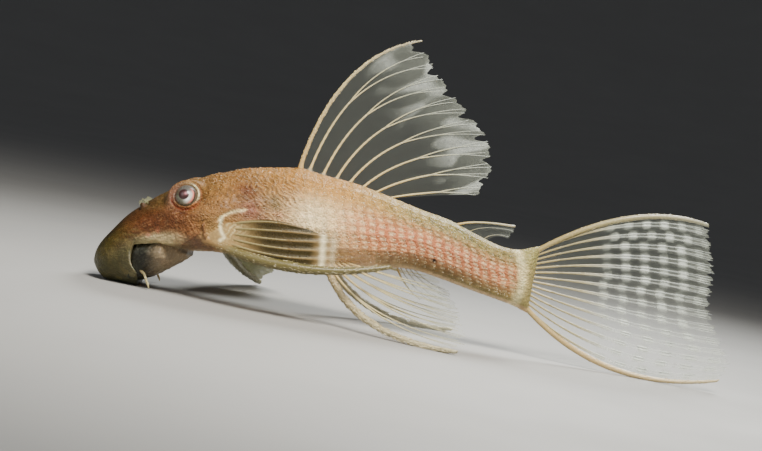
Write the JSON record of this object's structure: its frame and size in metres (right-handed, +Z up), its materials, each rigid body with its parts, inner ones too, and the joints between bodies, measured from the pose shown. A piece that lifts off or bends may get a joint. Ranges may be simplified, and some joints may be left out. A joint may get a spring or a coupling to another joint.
{
  "type": "bristlenose pleco",
  "caption": "Still, life-size albino bristlenose pleco resting on its sucker mouth, pelvic fins and tail, with tall dorsal fin and wide caudal fin.",
  "frame": {"origin": "centre of the flat of the upper lip, on the floor that the fish rests on", "axes": "+X from the snout to the tail, +Z up, +Y to the fish's right"},
  "size_m": [0.0808, 0.0418, 0.0365],
  "materials": {
    "skin": "cream and orange-brown armoured skin with a wet sheen",
    "lips": "soft grey-pink lips and barbels",
    "eye": "glossy pale eye with a pink pupil",
    "fin": "thin see-through web with cream rays"
  },
  "bodies": {
    "root": {"head": "skin", "trunk": "skin", "tail": "skin", "lips": "lips", "barbel_left": "lips", "barbel_right": "lips", "eye_left": "eye", "eye_right": "eye", "dorsal_fin": "fin", "adipose_fin": "fin", "anal_fin": "fin", "caudal_fin": "fin", "pectoral_fin_left": "fin", "pectoral_fin_right": "fin", "pelvic_fin_left": "fin", "pelvic_fin_right": "fin"}
  },
  "joints": []
}
